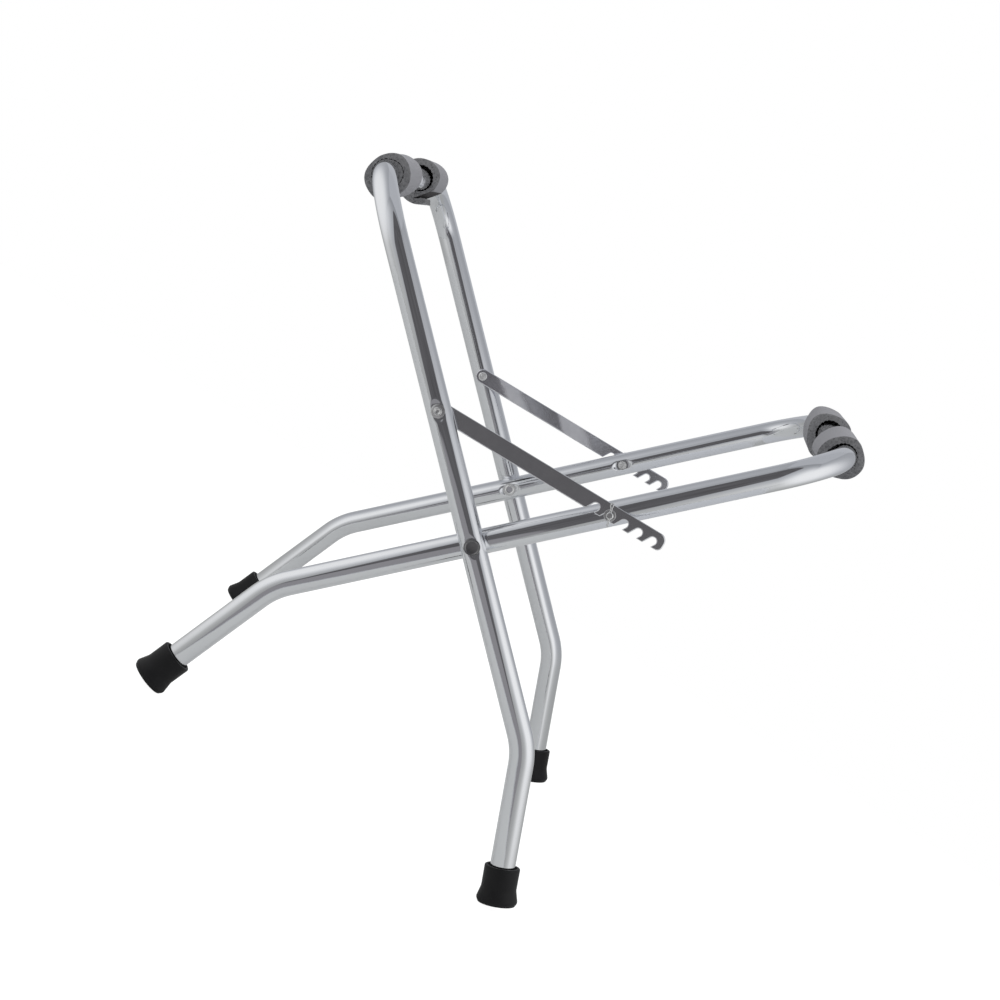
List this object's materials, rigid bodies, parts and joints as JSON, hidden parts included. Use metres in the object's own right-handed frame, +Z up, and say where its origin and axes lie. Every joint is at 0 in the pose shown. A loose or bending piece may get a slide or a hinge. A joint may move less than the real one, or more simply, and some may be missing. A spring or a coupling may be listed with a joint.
{
  "type": "bass drum cradle",
  "caption": "Folding X-frame cradle that lifts a bass drum off the floor: crossed bent tube frames, notched stays that lock the spread, padded top bars and rubber feet.",
  "frame": {"origin": "on the floor, midway between the feet, under the crossing of the frames", "axes": "+Z up, +Y along the crossbars, +X across the V of the arms towards the inner frame's crossbar"},
  "size_m": [0.5138, 0.6224, 0.5121],
  "materials": {
    "chromed_tube": "bright chrome plating on steel tube",
    "stay_steel": "plated flat steel with a cloudy shine",
    "fastener_zinc": "zinc plated, semi-bright",
    "foot_rubber": "matt moulded black",
    "ring_foam": "matt grey closed-cell foam"
  },
  "bodies": {
    "outer_frame": {"outer_frame_tube": "chromed_tube", "near_outer_frame_foot": "foot_rubber", "near_outer_frame_sleeve": "ring_foam", "near_outer_frame_ring": "ring_foam", "near_pivot_rivet": "fastener_zinc", "near_pivot_spacer": "fastener_zinc", "near_pivot_washer": "fastener_zinc", "near_stay_rivet": "fastener_zinc", "near_stay_rivet_washer": "fastener_zinc", "far_outer_frame_foot": "foot_rubber", "far_outer_frame_sleeve": "ring_foam", "far_outer_frame_ring": "ring_foam", "far_pivot_rivet": "fastener_zinc", "far_pivot_spacer": "fastener_zinc", "far_pivot_washer": "fastener_zinc", "far_stay_rivet": "fastener_zinc", "far_stay_rivet_washer": "fastener_zinc"},
    "inner_frame": {"inner_frame_tube": "chromed_tube", "near_inner_frame_foot": "foot_rubber", "near_inner_frame_sleeve": "ring_foam", "near_inner_frame_ring": "ring_foam", "near_hook_pin": "fastener_zinc", "near_hook_pin_washer": "fastener_zinc", "near_split_pin": "fastener_zinc", "far_inner_frame_foot": "foot_rubber", "far_inner_frame_sleeve": "ring_foam", "far_inner_frame_ring": "ring_foam", "far_hook_pin": "fastener_zinc", "far_hook_pin_washer": "fastener_zinc", "far_split_pin": "fastener_zinc"},
    "near_stay": {"near_stay": "stay_steel"},
    "far_stay": {"far_stay": "stay_steel"}
  },
  "joints": [
    {"name": "fold", "type": "hinge", "parent": "outer_frame", "child": "inner_frame", "pos_m": [0, 0, 0.2613], "axis": [0, -1, 0], "range_deg": [0, 65]},
    {"name": "near_stay_swing", "type": "hinge", "parent": "outer_frame", "child": "near_stay", "pos_m": [-0.08631, -0.28025, 0.34539], "axis": [0, -1, 0], "range_deg": [0, 89.15]},
    {"name": "far_stay_swing", "type": "hinge", "parent": "outer_frame", "child": "far_stay", "pos_m": [-0.08631, 0.28025, 0.34539], "axis": [0, -1, 0], "range_deg": [0, 89.15]}
  ],
  "couplings": [
    {"joint": "near_stay_swing", "follows": "fold", "ratio": 1.37},
    {"joint": "far_stay_swing", "follows": "fold", "ratio": 1.37}
  ]
}
